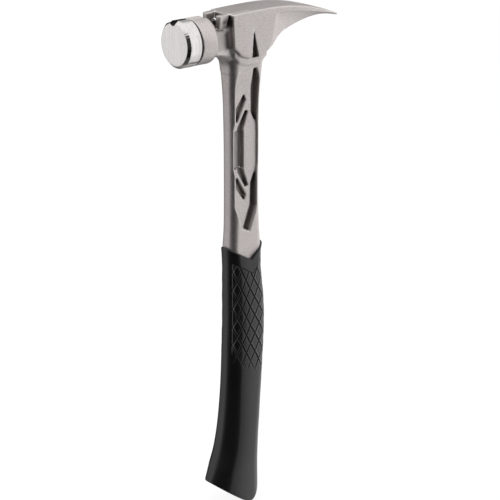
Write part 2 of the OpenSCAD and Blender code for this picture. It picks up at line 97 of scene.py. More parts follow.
# Poll, counted ahead of the shaft's middle
BELL_R = 17.6
BELL_FRONT = SHAFT_X - SEAL_HIGH.x
BELL_BACK = BELL_FRONT - 12.3
BELL_TAPER = 3.9
BELL_END = BELL_BACK - BELL_TAPER
BELL_SHARES = [(0.66, 1.0), (0.86, 0.74), (0.96, 0.36), (0.99, 0.08), (1.0, -0.1)]
BELL_FRONT_R, BELL_REAR_R = 1.2, 0.8
NECK_DROP, NECK_HALF, NECK_H, NECK_R = 11.0, 8.0, 20.9, 4.0
NECK_LOW, NECK_FOOT_DROP = HAMMER_H - NECK_DROP - NECK_H, NECK_DROP + NECK_H
THROAT_R, THROAT_SHARE, THROAT_HALF = 15.2, 1.08, 8.6
NECK_EDGE, THROAT_EDGE = 1.3 * NECK_R, 1.8 * NECK_R
GROOVE_W, GROOVE_DEPTH = 7.0, 3.0
GROOVE_R = ((GROOVE_W / 2) ** 2 + GROOVE_DEPTH**2) / (2 * GROOVE_DEPTH)
CAP_R = FACE_HIGH.y
GROOVE_Z = POLL_Z + CAP_R - GROOVE_DEPTH + GROOVE_R
FACE_R, FACE_BEVEL = 15.7, 2.1

# Nail start
BOSS_HALF, BOSS_REACH, BOSS_H, BOSS_DROP = 10.3, 27.3, 10.2, 1.4
BOSS_SIDE_R, BOSS_EDGE, BOSS_FOOT_R = 0.7, 0.5, 2.8
SLOT_HALF, SLOT_L, SLOT_H = 5.3, 7.5, 9.6
RELIEF_HALF, RELIEF_SKIN = 6.2, 0.9
RELIEF_TOP, RELIEF_FOOT = (18.4, 1.8), (22.0, 12.4)
MAGNET_R = MAGNET_HIGH.y
MAGNET_Z = MAGNET_HIGH.z - MAGNET_R
MAGNET_PLAY = 0.1

# Fillets where the parts of the casting join, and edges of what is cut from it
POLL_FILLET, THROAT_FILLET, HEAD_FILLET, SHAFT_FILLET, BOSS_FILLET = 1.6, 1.6, 5.0, 2.8, 1.1
CUT_EDGE, BORE_EDGE, SEAT_EDGE = 0.8, 0.7, 0.3

# Screw behind the head
COUNTERBORE_R, COUNTERBORE_END, SEAT_AHEAD = 6.75, 35.0, 2.0
KEY_GROOVE_R, KEY_GROOVE_END = 4.0, 60.0

# Shaft
TANG_LOW = 42.0
SHAFT_HALF_L, SHAFT_HALF_W, SHAFT_R = 13.5, 7.8, 6.0
SHAFT_TOP = HAMMER_H - POLL_DROP - 11.0
# Share of the way from the tang's end to the head, and shares of half the section's length
# ahead and behind and of half its width
SHAFT_SHARES = [
    (0.000, 1.00, 0.46, 0.70), (0.14, 0.92, 0.69, 0.83), (0.28, 0.88, 0.96, 0.90),
    (0.46, 0.93, 0.98, 0.92), (0.495, 1.00, 1.03, 1.00), (0.525, 1.06, 1.10, 1.06),
    (0.545, 1.03, 1.07, 1.03), (0.575, 1.00, 1.03, 1.00), (0.645, 0.975, 0.99, 1.00),
    (0.71, 0.97, 0.995, 1.00), (0.77, 0.975, 1.015, 1.00), (0.83, 0.99, 1.02, 1.00),
    (0.87, 1.01, 1.04, 1.01), (0.905, 1.045, 1.08, 1.04), (0.938, 1.08, 1.12, 1.13),
    (0.968, 1.10, 1.12, 1.30), (1.000, 1.11, 0.95, 1.38),
]
SHAFT_BACK_R = 4.6
WEB_HALF, PANEL_RISE = 1.2, 4.2
POCKET_EDGE, POCKET_FLOOR_R, PANEL_EDGE, GROOVE_EDGE = 1.6, 1.2, 0.9, 0.8
PATTERN_SHIFT = 0.5
PANEL_RAMP_LOW, PANEL_RAMP_HIGH = 44.0, 62.0
POCKET_DROP, POCKET_HALF, POCKET_DRAFT = 107.0, 64.0, 0.12
# Outlines of the pocket, the panel and the panel's channel and slits, seen from the side, as
# shares of half the shaft's length and of half the pocket's height
POCKET_SHARES = [
    (-0.58, 0.95), (0.22, 0.97), (0.54, 0.97), (0.84, 0.83), (0.78, 0.57), (0.72, 0.33),
    (0.77, 0.22), (0.77, -0.22), (0.68, -0.31), (0.65, -0.72), (0.13, -1.01), (-0.25, -0.97),
    (-0.78, -0.69), (-0.77, -0.30), (-0.85, -0.21), (-0.85, 0.25), (-0.755, 0.33), (-0.755, 0.77),
    (-0.71, 0.87),
]
PANEL_SHARES = [
    (-1.2, 1.1), (0.43, 1.1), (0.43, 0.433), (0.70, 0.315), (0.82, 0.21), (0.82, -0.225),
    (0.64, -0.31), (0.39, -0.43), (0.35, -0.69), (-0.12, -0.96), (-0.5, -1.1), (-1.2, -1.1),
]
CHANNEL_SHARES = [(-1.2, 0.225), (-0.195, 0.225), (-0.195, -0.225), (-1.2, -0.225)]
OUTER_SLIT_SHARES = [(-0.123, 0.65), (-0.03, 0.587), (-0.62, 0.345), (-0.62, 0.50)]
LOWER_SLIT_SHARES = [(-0.123, 0.615), (-0.03, 0.56), (-0.62, 0.345), (-0.62, 0.465)]
INNER_SLIT_SHARES = [(0.0, 0.459), (0.123, 0.45), (-0.26, 0.22), (-0.56, 0.22), (-0.54, 0.262)]

# Grid of the casting's field, in millimetres, and the faces that are kept of its surface
STEP = 0.42
CASTING_LOW = GRIP_HIGH.z - 32.0
CASTING_FACES = 95000
CORNERS = [(i, j, k) for i in (0, 1) for j in (0, 1) for k in (0, 1)]

# How far out from the surface recesses are looked for, with weights, for their painted shade, and how
# far in edges are, for their painted highlight
RECESS_REACHES = ((1.0, 0.2), (2.2, 0.3), (4.5, 0.3), (8.0, 0.2))
EDGE_REACHES = (0.7, 1.3)
# Least painted shade inside the nail slot and in the corner between boss and cheek. The corner's
# painted shade grows from the first to the second number of each pair
SLOT_PAINTED_SHADE, SLOT_MARGIN = 0.62, 0.4
CORNER_AHEAD = (25, 19), (CHEEK_REACH - 2.2, CHEEK_REACH - 1.4)
CORNER_DROP = (2.5, 5.5), (NECK_FOOT_DROP, NECK_FOOT_DROP - 6)
CORNER_SIDE = (CHEEK_HALF - 0.8, CHEEK_HALF - 2)


def rise(value, low, high):
    """A straight step from 0 at low to 1 at high."""
    return np.clip((value - low) / (high - low), 0, 1)


def near(distance, width):
    """1 at no distance, falling to 0 at width."""
    return np.clip(1 - distance / width, 0, 1)


def inside_all(*fields):
    """The part inside all of the fields, with sharp edges."""
    return reduce(np.maximum, fields)


def table(x, rows, column):
    """A smooth curve through one column of a table, looked up by its first column."""
    knots = np.array([row[0] for row in rows], float)
    values = np.array([row[column] for row in rows], float)
    slopes = np.gradient(values, knots)
    x = np.clip(x, knots[0], knots[-1])
    i = np.clip(np.searchsorted(knots, x) - 1, 0, len(knots) - 2)
    width = knots[i + 1] - knots[i]
    t = (x - knots[i]) / width
    left, right = slopes[i], slopes[i + 1]
    secant = (values[i + 1] - values[i]) / width
    limit = 3 * np.abs(secant)
    left, right = np.clip(left, -limit, limit), np.clip(right, -limit, limit)
    height = (2 * t**3 - 3 * t**2 + 1) * values[i] + (3 * t**2 - 2 * t**3) * values[i + 1]
    return height + width * ((t**3 - 2 * t**2 + t) * left + (t**3 - t**2) * right)


def join(a, b, blend):
    """The union of two fields, with a fillet about as wide as blend."""
    h = np.maximum(blend - np.abs(a - b), 0) / blend
    return np.minimum(a, b) - h * h * blend / 4


def meet(a, b, blend):
    """The part inside both fields, with its edge rounded over about blend."""
    return -join(-a, -b, blend)


def cut(a, b, blend):
    """The part of the first field outside the second."""
    return meet(a, -b, blend)


def outline_distance(x, z, points):
    """Signed distance to a polygon in the side view, negative inside."""
    nearest = np.full(np.broadcast(x, z).shape, np.inf)
    inside = np.zeros(nearest.shape, bool)
    for (x0, z0), (x1, z1) in zip(points, points[1:] + points[:1]):
        ex, ez = x1 - x0, z1 - z0
        t = np.clip(((x - x0) * ex + (z - z0) * ez) / (ex * ex + ez * ez), 0, 1)
        nearest = np.minimum(nearest, (x - x0 - t * ex) ** 2 + (z - z0 - t * ez) ** 2)
        if z0 != z1:
            crossing = (z0 > z) != (z1 > z)
            inside ^= crossing & (x < x0 + (z - z0) * ex / ez)
    return np.where(inside, -1, 1) * np.sqrt(nearest)


def crown_drop(x):
    """How far the head's crown lies below its highest line."""
    radius = np.where(x < CROWN_PEAK, CROWN_FRONT_R, CROWN_REAR_R)
    return radius - np.sqrt(radius**2 - (x - CROWN_PEAK) ** 2)


def evened(values, x):
    """How much a height over x shrinks when it is measured square to the curve."""
    return 1 / np.sqrt(1 + np.gradient(values, x, axis=0) ** 2)


def head_field(x, y, drop):
    """Cheeks and claw: a crown over two sides, bevelled to a lower edge."""
    share = (x + CHEEK_REACH) / HEAD_SPAN
    crown = crown_drop(x)
    low = table(share, HEAD_SHARES, 2) * CHEEK_H
    crease = np.minimum(table(share, HEAD_SHARES, 1) * CHEEK_H, low - 0.2)
    half = table(share, HEAD_SHARES, 3) * CHEEK_HALF
    half_low = table(share, HEAD_SHARES, 4) * CHEEK_HALF
    line = x[:, 0, 0]
    camber = CROWN_CAMBER * (y / CHEEK_HALF) ** 2
    top = (crown + camber - drop) * evened(crown, line)
    under = (drop - low) * evened(low, line)
    tall, run = low - crease, half - half_low
    length = np.hypot(tall, run)
    step = CREASE_STEP * rise(x, *CREASE_START) * rise(x, *CREASE_END)
    bevel = ((y - half + step) * tall + (drop - crease) * run) / length * evened(low, line)
    bevel = join(bevel, (drop - crease) * evened(crease, line), CREASE_R)
    front = -CHEEK_REACH - FRONT_PROUD + CHEEK_LEAN * rise(drop, 0, CHEEK_H) - x
    edge_share, least, most = CROWN_EDGE
    edge = np.clip((low - crown) * edge_share, least, most)
    solid = meet(meet(y - half, bevel, SIDE_EDGE), under, np.minimum(edge, LOW_EDGE_MOST))
    solid = meet(solid, top, edge)
    solid = meet(solid, front, CHEEK_FRONT_R)
    return meet(solid, x - CLAW_REACH, TIP_EDGE)


def collar_field(x, y, drop):
    """The step under the cheeks, where the head widens out of the shaft."""
    share = (x + CHEEK_REACH) / HEAD_SPAN
    low = table(share, HEAD_SHARES, 2) * CHEEK_H + COLLAR_STEP
    under = (drop - low) * evened(low, x[:, 0, 0])
    solid = meet(y - COLLAR_HALF, under, COLLAR_EDGE)
    solid = meet(solid, -COLLAR_FRONT - x, COLLAR_FRONT_R)
    return inside_all(solid, x - COLLAR_END, COLLAR_TOP - drop)


def shaft_field(x, y, z):
    """A rounded section whose length and width follow the table, and half its width."""
    share = (z - TANG_LOW) / (SHAFT_TOP - TANG_LOW)
    front = table(share, SHAFT_SHARES, 1) * SHAFT_HALF_L
    back = table(share, SHAFT_SHARES, 2) * SHAFT_HALF_L
    half = table(share, SHAFT_SHARES, 3) * SHAFT_HALF_W
    middle = x - (back - front) / 2
    radius = SHAFT_R + (SHAFT_BACK_R - SHAFT_R) * rise(middle, -3, 3)
    radius = np.minimum(radius, half - 0.1)
    qx = np.abs(middle) - (front + back) / 2 + radius
    qy = y - half + radius
    outside = np.hypot(np.maximum(qx, 0), np.maximum(qy, 0))
    solid = outside + np.minimum(np.maximum(qx, qy), 0) - radius
    return np.maximum(solid, z - SHAFT_TOP), half


def pocketed_shaft(x, y, z):
    """The shaft with a pocket in each side, where a panel with slanting ribs stands."""
    solid, half = shaft_field(x, y, z)
    height = z - (HAMMER_H - POCKET_DROP)

    def drawn(shares, side=1):
        """Distance to an outline of the table, mirrored top to bottom for side -1."""
        points = [(p[0] * SHAFT_HALF_L + PATTERN_SHIFT, side * p[1] * POCKET_HALF) for p in shares]
        return outline_distance(x, height, points)

    pocket, panel, grooves = drawn(POCKET_SHARES), drawn(PANEL_SHARES), drawn(CHANNEL_SHARES)
    for shares, side in (
        (OUTER_SLIT_SHARES, 1), (INNER_SLIT_SHARES, 1), (LOWER_SLIT_SHARES, -1), (INNER_SLIT_SHARES, -1),
    ):
        grooves = np.minimum(grooves, drawn(shares, side))
    panel = meet(panel, -grooves, GROOVE_EDGE)
    depth = np.maximum(half - y, 0)
    ramp = rise(height, PANEL_RAMP_LOW, PANEL_RAMP_HIGH)
    ramp = ramp * ramp * (3 - 2 * ramp)
    tall = PANEL_RISE + ramp * np.maximum(half - WEB_HALF - PANEL_RISE, 0)
    hollow = meet(pocket + POCKET_DRAFT * depth, WEB_HALF - y, POCKET_FLOOR_R)
    standing = meet(panel + POCKET_DRAFT * (y - WEB_HALF), y - WEB_HALF - tall, PANEL_EDGE)
    return meet(solid, join(-hollow, standing, POCKET_FLOOR_R), POCKET_EDGE)


def bell_field(ahead, radius):
    """The round cup behind the steel face, tapered towards the neck."""
    rows = [(BELL_BACK - share[1] * BELL_TAPER, share[0] * BELL_R) for share in BELL_SHARES]
    outer = table(ahead, rows, 1)
    side = (radius - outer) * evened(outer, -ahead[:, 0, 0])
    solid = meet(side, ahead - BELL_FRONT, BELL_FRONT_R)
    return meet(solid, BELL_END - ahead, BELL_REAR_R)


def neck_field(ahead, y, z):
    """The bar between the head and the bell."""
    tall = np.abs(z - NECK_LOW - NECK_H / 2) - NECK_H / 2
    return meet(inside_all(tall, ahead - BELL_BACK, -ahead), y - NECK_HALF, NECK_EDGE)


def throat_field(ahead, y, z):
    """The web that curves from under the neck into the shaft's front."""
    reach = SHAFT_HALF_L * THROAT_SHARE + THROAT_R
    arc = THROAT_R - np.hypot(ahead - reach, z - NECK_LOW + THROAT_R)
    web = inside_all(arc, ahead - reach, NECK_LOW - THROAT_R - z, z - NECK_LOW - NECK_R, -ahead)
    return meet(web, y - THROAT_HALF, THROAT_EDGE)


def boss_field(x, y, drop):
    """The block that holds a nail's head, relieved along a slant behind its sides."""
    ahead, crown = -x, crown_drop(x)
    solid = meet(y - BOSS_HALF, ahead - BOSS_REACH, BOSS_SIDE_R)
    solid = meet(solid, crown - drop, BOSS_EDGE)
    solid = meet(solid, drop - BOSS_DROP - BOSS_H, BOSS_FOOT_R)
    solid = np.maximum(solid, -ahead)
    (x0, d0), (x1, d1) = RELIEF_TOP, RELIEF_FOOT
    length = np.hypot(x1 - x0, d1 - d0)
    behind = ((ahead - x0) * (d1 - d0) - (drop - d0) * (x1 - x0)) / length
    relief = np.maximum(meet(behind, RELIEF_HALF - y, BOSS_EDGE), crown + RELIEF_SKIN - drop)
    return cut(solid, relief, BOSS_EDGE)


def claw_slot(x, y, drop):
    """The slot between the claw's tips, chamfered along the crown."""
    half = CLAW_ROOT_R + (CLAW_SLOT_W / 2 - CLAW_ROOT_R) * (x - CLAW_REACH + CLAW_SLOT_L) / CLAW_SLOT_L
    chamfer = np.clip(CLAW_CHAMFER - (drop - crown_drop(x)), 0, CLAW_CHAMFER)
    return np.maximum(y - half - CHAMFER_SLOPE * chamfer, CLAW_REACH - CLAW_SLOT_L - CLAW_ROOT_R - x)


def side_puller(x, y, drop):
    """The wedge in the cheek that takes a nail's head."""
    below = (drop - CHEEK_H + PULLER_H) / PULLER_H
    wedge = (np.abs(x - PULLER_X - PULLER_LEAN * below) - below * PULLER_W / 2) * PULLER_SLANT
    floor = CHEEK_HALF - PULLER_DEPTH - y
    return meet(np.maximum(wedge, drop - PULLER_FOOT), floor, PULLER_FLOOR_R)


def casting_field(x, y, z):
    """Distance from the casting's surface in millimetres, negative inside, for y from 0."""
    ahead, drop = -x, HAMMER_H - z
    radius = np.hypot(y, z - POLL_Z)
    head = join(head_field(x, y, drop), collar_field(x, y, drop), COLLAR_FILLET)
    poll = join(bell_field(ahead, radius), neck_field(ahead, y, z), POLL_FILLET)
    shaft = join(pocketed_shaft(x, y, z), throat_field(ahead, y, z), THROAT_FILLET)
    solid = join(join(poll, head, HEAD_FILLET), shaft, SHAFT_FILLET)
    solid = join(solid, boss_field(x, y, drop), BOSS_FILLET)
    solid = cut(solid, claw_slot(x, y, drop), CUT_EDGE)
    solid = cut(solid, side_puller(x, y, drop), PULLER_EDGE)

    groove = meet(np.hypot(y, z - GROOVE_Z) - GROOVE_R, BELL_END - ahead, CUT_EDGE)
    solid = cut(solid, groove, CUT_EDGE)
    nail = meet(y - SLOT_HALF, BOSS_REACH - SLOT_L - ahead, CUT_EDGE)
    nail = meet(nail, drop - BOSS_DROP - SLOT_H, CUT_EDGE)
    solid = cut(solid, np.maximum(nail, ahead - BELL_END), CUT_EDGE)
    seat = np.hypot(y, z - MAGNET_Z) - MAGNET_R - MAGNET_PLAY
    seat_end = BOSS_REACH - SLOT_L - MAGNET_PLAY
    solid = cut(solid, inside_all(seat, seat_end - ahead, ahead - BOSS_REACH - 1), SEAT_EDGE)

    bore = inside_all(radius - COUNTERBORE_R, x - COUNTERBORE_END, -SEAT_AHEAD - x)
    solid = cut(solid, bore, BORE_EDGE)
    key = inside_all(radius - KEY_GROOVE_R, x - KEY_GROOVE_END, -x)
    solid = cut(solid, key, BORE_EDGE)
    return np.maximum(solid, CASTING_LOW - z)


def surface_net(field, origin, step):
    """Vertices and quads of a field's zero surface, one vertex in each cell it crosses."""
    inside = field < 0
    nx, ny, nz = (n - 1 for n in field.shape)
    count = sum(inside[i : i + nx, j : j + ny, k : k + nz].astype(np.int8) for i, j, k in CORNERS)
    cells = np.argwhere((count > 0) & (count < 8))
    number = np.full((nx, ny, nz), -1, np.int32)
    number[tuple(cells.T)] = np.arange(len(cells))
    total = np.zeros((len(cells), 3))
    hits = np.zeros(len(cells))
    for a in CORNERS:
        for axis in range(3):
            if a[axis] == 1:
                continue
            b = list(a)
            b[axis] = 1
            fa = field[tuple((cells + a).T)]
            fb = field[tuple((cells + b).T)]
            crossed = (fa < 0) != (fb < 0)
            t = np.where(crossed, fa / np.where(crossed, fa - fb, 1), 0)
            point = np.array(a, float)[None] + t[:, None] * np.eye(3)[axis][None]
            total += point * crossed[:, None]
            hits += crossed
    vertices = np.array(origin) + (cells + total / hits[:, None]) * step
    quads = []
    for axis in range(3):
        u, v = (axis + 1) % 3, (axis + 2) % 3
        lower = [slice(1, -1)] * 3
        lower[axis] = slice(0, -1)
        upper = list(lower)
        upper[axis] = slice(1, None)
        start, end = inside[tuple(lower)], inside[tuple(upper)]
        edges = np.argwhere(start != end)
        leaving = start[tuple(edges.T)]
        base = edges + [0 if k == axis else 1 for k in range(3)]
        ring = []
        for du, dv in ((-1, -1), (0, -1), (0, 0), (-1, 0)):
            cell = base.copy()
            cell[:, u] += du
            cell[:, v] += dv
            ring.append(number[tuple(cell.T)])
        ring = np.stack(ring, 1)
        quads.append(np.where(leaving[:, None], ring, ring[:, ::-1]))
    return vertices, np.concatenate(quads)


def shade_smooth(mesh):
    mesh.polygons.foreach_set("use_smooth", [True] * len(mesh.polygons))


def new_object(name, data):
    obj = bpy.data.objects.new(name, data)
    bpy.context.scene.collection.objects.link(obj)
    return obj


def mesh_object(name, vertices, faces, smooth=True):
    """A mesh object from points in millimetres."""
    mesh = bpy.data.meshes.new(name)
    mesh.from_pydata((np.asarray(vertices) * MM).tolist(), [], faces)
    mesh.update()
    if smooth:
        shade_smooth(mesh)
    return new_object(name, mesh)


def apply_modifiers(obj):
    depsgraph = bpy.context.evaluated_depsgraph_get()
    mesh = bpy.data.meshes.new_from_object(obj.evaluated_get(depsgraph))
    obj.modifiers.clear()
    obj.data = mesh


def store(mesh, name, values):
    """Keeps a number for each point, for the materials to read."""
    layer = mesh.attributes.new(name, "FLOAT", "POINT")
    layer.data.foreach_set("value", values.astype(np.float32))


def ring_faces(rings, n):
    """Quads between rings of n points, one after the other."""
    j, i = np.meshgrid(np.arange(rings - 1), np.arange(n), indexing="ij")
    a, b = j * n + i, j * n + (i + 1) % n
    return np.stack([a, b, b + n, a + n], -1).reshape(-1, 4).tolist()


def field_at(points, field, origin, step):
    """The field's values between its grid points."""
    place = (points - np.array(origin)) / step
    inside = np.clip(place, 0, np.array(field.shape) - 1.001)
    beyond = np.linalg.norm(place - inside, axis=1) * step
    cell = np.floor(inside).astype(int)
    t = inside - cell
    value = np.zeros(len(points))
    for i, j, k in CORNERS:
        weight = np.abs(1 - i - t[:, 0]) * np.abs(1 - j - t[:, 1]) * np.abs(1 - k - t[:, 2])
        value += weight * field[cell[:, 0] + i, cell[:, 1] + j, cell[:, 2] + k]
    return value + beyond


def mark_shade_and_highlight(obj, field, origin, step):
    """Stores how deep in a recess each point lies, for painted shade, which is raised in the nail slot
    and beside the boss, and how near to a convex edge it lies, for a painted highlight, each 0 to 1.
    """
    mesh = obj.data

    def read(kind):
        values = np.zeros(len(mesh.vertices) * 3)
        mesh.vertices.foreach_get(kind, values)
        return values.reshape(-1, 3)

    points, normals = read("co") / MM, read("normal")
    closed = np.zeros(len(points))
    for reach, weight in RECESS_REACHES:
        room = field_at(points + normals * reach, field, origin, step)
        closed += weight * near(room, reach)
    ahead, side, drop = SHAFT_X - points[:, 0], np.abs(points[:, 1]), HAMMER_H - points[:, 2]
    # Painted shade inside the nail slot and in the corner between boss and cheek
    in_slot = (side < SLOT_HALF + SLOT_MARGIN) & (ahead > BOSS_REACH - SLOT_L - SLOT_MARGIN)
    in_slot &= (ahead < BOSS_REACH - 0.3) & (drop > BOSS_DROP + 1.2)
    in_slot &= drop < BOSS_DROP + SLOT_H + SLOT_MARGIN
    closed = np.where(in_slot, np.maximum(closed, SLOT_PAINTED_SHADE), closed)
    corner = rise(side, *CORNER_SIDE)
    for value, spans in ((ahead, CORNER_AHEAD), (drop, CORNER_DROP)):
        for span in spans:
            corner *= rise(value, *span)
    closed = np.maximum(closed, SLOT_PAINTED_SHADE * corner)
    thin = np.zeros(len(points))
    for reach in EDGE_REACHES:
        thin += near(-field_at(points - normals * reach, field, origin, step), reach) / len(EDGE_REACHES)
    store(mesh, "painted_shade", closed)
    store(mesh, "edge", thin)


def build_casting():
    """The casting's surface, from its field on one side and the mirrored field."""
    low = np.array([SHAFT_X - BELL_FRONT - 2 * STEP, 0, CASTING_LOW - 2 * STEP])
    high = np.array([CASTING_HIGH.x + 2 * STEP, BELL_R + 2 * STEP, HAMMER_H + 2 * STEP])
    sizes = np.ceil((high - low) / STEP).astype(int) + 1
    x = (low[0] - SHAFT_X + STEP * np.arange(sizes[0]))[:, None, None]
    y = (STEP * (np.arange(sizes[1]) + 0.5))[None, :, None]
    z = (low[2] + STEP * np.arange(sizes[2]))[None, None, :]
    half = casting_field(x, y, z)
    field = np.concatenate([half[:, ::-1], half], 1)
    origin = (low[0], -STEP * (sizes[1] - 0.5), low[2])
    vertices, quads = surface_net(field, origin, STEP)
    obj = mesh_object("titanium_casting", vertices, quads.tolist())
    slim = obj.modifiers.new("slim", "DECIMATE")
    slim.ratio = min(1.0, CASTING_FACES / len(quads))
    apply_modifiers(obj)
    shade_smooth(obj.data)
    mark_shade_and_highlight(obj, field, origin, STEP)
    return obj


casting = build_casting()
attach(casting, "root")
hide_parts("titanium_frame")


# Steel face

FACE_SEGMENTS, GROOVE_COLUMNS = 192, 36
FACE_BACK = SHAFT_X - FACE_HIGH.x
EDGE_ROUND, EDGE_ANGLE, SHARP_ANGLE = 0.22, 25, 24
NOTCH_W, NOTCH_DEPTH = 7.4, 4.1
# The notch's far side runs out in a flat, and the face stands turned a little on its screw
NOTCH_TURN = np.radians(5.0)
FLAT_TURN, FLAT_SINK = np.radians(21.0), 0.95
NOTCH_R = ((NOTCH_W / 2) ** 2 + NOTCH_DEPTH**2) / (2 * NOTCH_DEPTH)
NOTCH_RISE = CAP_R - NOTCH_DEPTH + NOTCH_R


def notched_circle(radius):
    """Points (y, z) of a circle round the poll's axis, cut by the nail groove and its flat."""
    corner = np.arccos((radius**2 + NOTCH_RISE**2 - NOTCH_R**2) / (2 * radius * NOTCH_RISE))
    reach = np.arcsin(radius * np.sin(corner) / NOTCH_R)
    if NOTCH_RISE < radius * np.cos(corner):
        reach = np.pi - reach
    swing = np.linspace(-reach, reach, GROOVE_COLUMNS, endpoint=False)
    turn = np.linspace(corner, 2 * np.pi - corner, FACE_SEGMENTS, endpoint=False)
    away = np.cos(turn + NOTCH_TURN - FLAT_TURN)
    flat = np.where(away > 0.5, (CAP_R - FLAT_SINK) / np.maximum(away, 0.5), np.inf)
    outer = np.minimum(radius, flat)
    y = np.concatenate([NOTCH_R * np.sin(swing), outer * np.sin(turn)])
    z = np.concatenate([NOTCH_RISE - NOTCH_R * np.cos(swing), outer * np.cos(turn)])
    turned = y * np.cos(NOTCH_TURN) + z * np.sin(NOTCH_TURN)
    return turned, POLL_Z + z * np.cos(NOTCH_TURN) - y * np.sin(NOTCH_TURN)


def smooth_by_angle(obj, degrees):
    """Smooth faces with sharp edges where the surface turns by more than an angle."""
    mesh = obj.data
    shade_smooth(mesh)
    work = bmesh.new()
    work.from_mesh(mesh)
    for edge in work.edges:
        edge.smooth = len(edge.link_faces) == 2 and edge.calc_face_angle() < np.radians(degrees)
    work.to_mesh(mesh)
    work.free()


def build_steel_face():
    """The face's cap: rings from its seat round the barrel and over the bevel to the middle."""
    stations = [(FACE_BACK, CAP_R - 0.6), (FACE_BACK + 0.6, CAP_R)]
    barrel = np.linspace(FACE_BACK + 1.2, FACE_REACH - FACE_BEVEL, 6)
    stations += [(ahead, CAP_R) for ahead in barrel] + [(FACE_REACH, FACE_R)]
    rings = []
    for ahead, radius in stations:
        y, z = notched_circle(radius)
        rings.append(np.stack([np.full(len(y), SHAFT_X - ahead), y, z], 1))
    first, last = rings[0], rings[-1]
    for share in (0.9, 0.6, 0.3):
        inner = last.copy()
        inner[:, 1] *= share
        inner[:, 2] = POLL_Z + (inner[:, 2] - POLL_Z) * share
        rings.append(inner)
    n = len(first)
    vertices = np.concatenate([*rings, [[first[0, 0], 0, POLL_Z], [last[0, 0], 0, POLL_Z]]])
    faces = ring_faces(len(rings), n)
    count = len(rings) * n
    faces += [[count, (k + 1) % n, k] for k in range(n)]
    faces += [[count + 1, count - n + k, count - n + (k + 1) % n] for k in range(n)]
    obj = mesh_object("steel_face", vertices, faces, smooth=False)
    work = bmesh.new()
    work.from_mesh(obj.data)
    bmesh.ops.recalc_face_normals(work, faces=work.faces)
    work.to_mesh(obj.data)
    work.free()
    rounding = obj.modifiers.new("rounding", "BEVEL")
    rounding.width = EDGE_ROUND * MM
    rounding.segments = 3
    rounding.limit_method = "ANGLE"
    rounding.angle_limit = np.radians(EDGE_ANGLE)
    rounding.harden_normals = True
    apply_modifiers(obj)
    smooth_by_angle(obj, SHARP_ANGLE)
    return obj


steel_face = build_steel_face()
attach(steel_face, "root")
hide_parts("striking_face")

# Grip

GRIP_HALF_L, GRIP_HALF_W = 15.2, 10.0
GRIP_LIP = GRIP_HIGH.z - 2.5
# Share of the lip's height, and shares of half the grip's length ahead and behind and of
# half its width
GRIP_SHARES = [
    (0.156, 1.85, 0.79, 1.32), (0.212, 1.58, 0.82, 1.28), (0.269, 1.405, 0.87, 1.23),
    (0.330, 1.28, 0.945, 1.18), (0.387, 1.195, 1.00, 1.14), (0.448, 1.125, 1.07, 1.11),
    (0.542, 1.055, 1.16, 1.10), (0.637, 1.015, 1.24, 1.10), (0.730, 0.975, 1.27, 1.09),
    (0.790, 0.975, 1.235, 1.08), (0.920, 0.975, 1.065, 1.01), (0.975, 1.01, 1.08, 0.97),
    (1.00, 1.04, 1.15, 0.97),
]
BUTT_SHARES = (2.10, 0.80, 1.35)
BUTT_LOW_SHARE, TOE_RISE, HEEL_RISE, BUTT_R = 0.70, 20.2, 14.0, 2.6
BUTT_RINGS = 6
# How much the sides bulge, from the butt up
SIDE_CROWN = [(0.0, 0.32), (0.25, 0.28), (0.5, 0.27), (0.75, 0.28), (0.92, 0.24), (1.0, 0.13)]
GRIP_R_SHARE = 0.84
CROWN_REACH, CROWN_FALL = 2.2, 0.36
# The lip's line from the grip's front to its back, dipped where the shaft's side is
LIP_PLACES, LIP_HEIGHTS = (0.0, 0.575, 0.94, 1.0), (0.3, -10.8, 0.3, 0.8)
LIP_ROUND = 0.7
# Rings over the lip and down beside the shaft: inset, sink and how much painted shade they get
LIP_RINGS = ((1.1, 0.0, 0.4), (1.3, 0.9, 1.0), (2.4, 1.3, 1.0), (4.2, 8.0, 1.0))
DIAMOND_H, DIAMOND_TOP, DIAMOND_L, DIAMOND_SKEW = 15.0, 10.0, 75.0, 24.0
LINE_W, LINE_DEPTH = 1.0, 0.9
# A diamond falls a little from its middle, over this width, towards its grooves
DIAMOND_DISH, DIAMOND_DISH_W = 0.22, 2.2
# Widths of the field's border, of the painted highlights along the diamonds' edges and beside the
# border, and how strong the one beside the border shows
BORDER_W, HIGHLIGHT_W, BORDER_HIGHLIGHT_W, BORDER_HIGHLIGHT_SHOWN = 0.55, 0.34, 0.4, 0.35
TOP_FADE, FOOT_FADE = 0.8, 6.0
BORDER_SHARE = 4 / 24
DIAMOND_COLUMNS, COLUMN_W = 10, 3.45
COARSE_ROW = 1.3
FINE_ROW, GRIP_COLUMNS = ((0.38, 288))


def ring_points(t, front, back, half, radius):
    """Points of a rounded rectangle for t from 0 at the back round by both sides."""
    quarter = np.floor(t * 4).astype(int) % 4
    u = t * 4 - np.floor(t * 4)
    behind = (quarter == 0) | (quarter == 3)
    x = np.where(behind, back, front)
    arc = radius * np.pi / 2
    length = x + half - 2 * radius + arc
    d = np.where(quarter % 2 == 0, u, 1 - u) * length
    flat = half - radius
    angle = np.clip((d - flat) / radius, 0, np.pi / 2)
    px = x - radius + radius * np.cos(angle) - np.maximum(d - flat - arc, 0)
    py = np.minimum(d, flat) + radius * np.sin(angle)
    return np.where(behind, px, -px), np.where(quarter < 2, py, -py)


def butt_height(u):
    """Height of the butt's edge, u from 0 at the grip's front to 1 at its back."""
    toe = TOE_RISE * np.maximum(0, 1 - u / BUTT_LOW_SHARE) ** 1.15
    return toe + HEEL_RISE * np.maximum(0, (u - BUTT_LOW_SHARE) / (1 - BUTT_LOW_SHARE)) ** 2


def lip_height(u):
    return np.interp(u, LIP_PLACES, LIP_HEIGHTS)


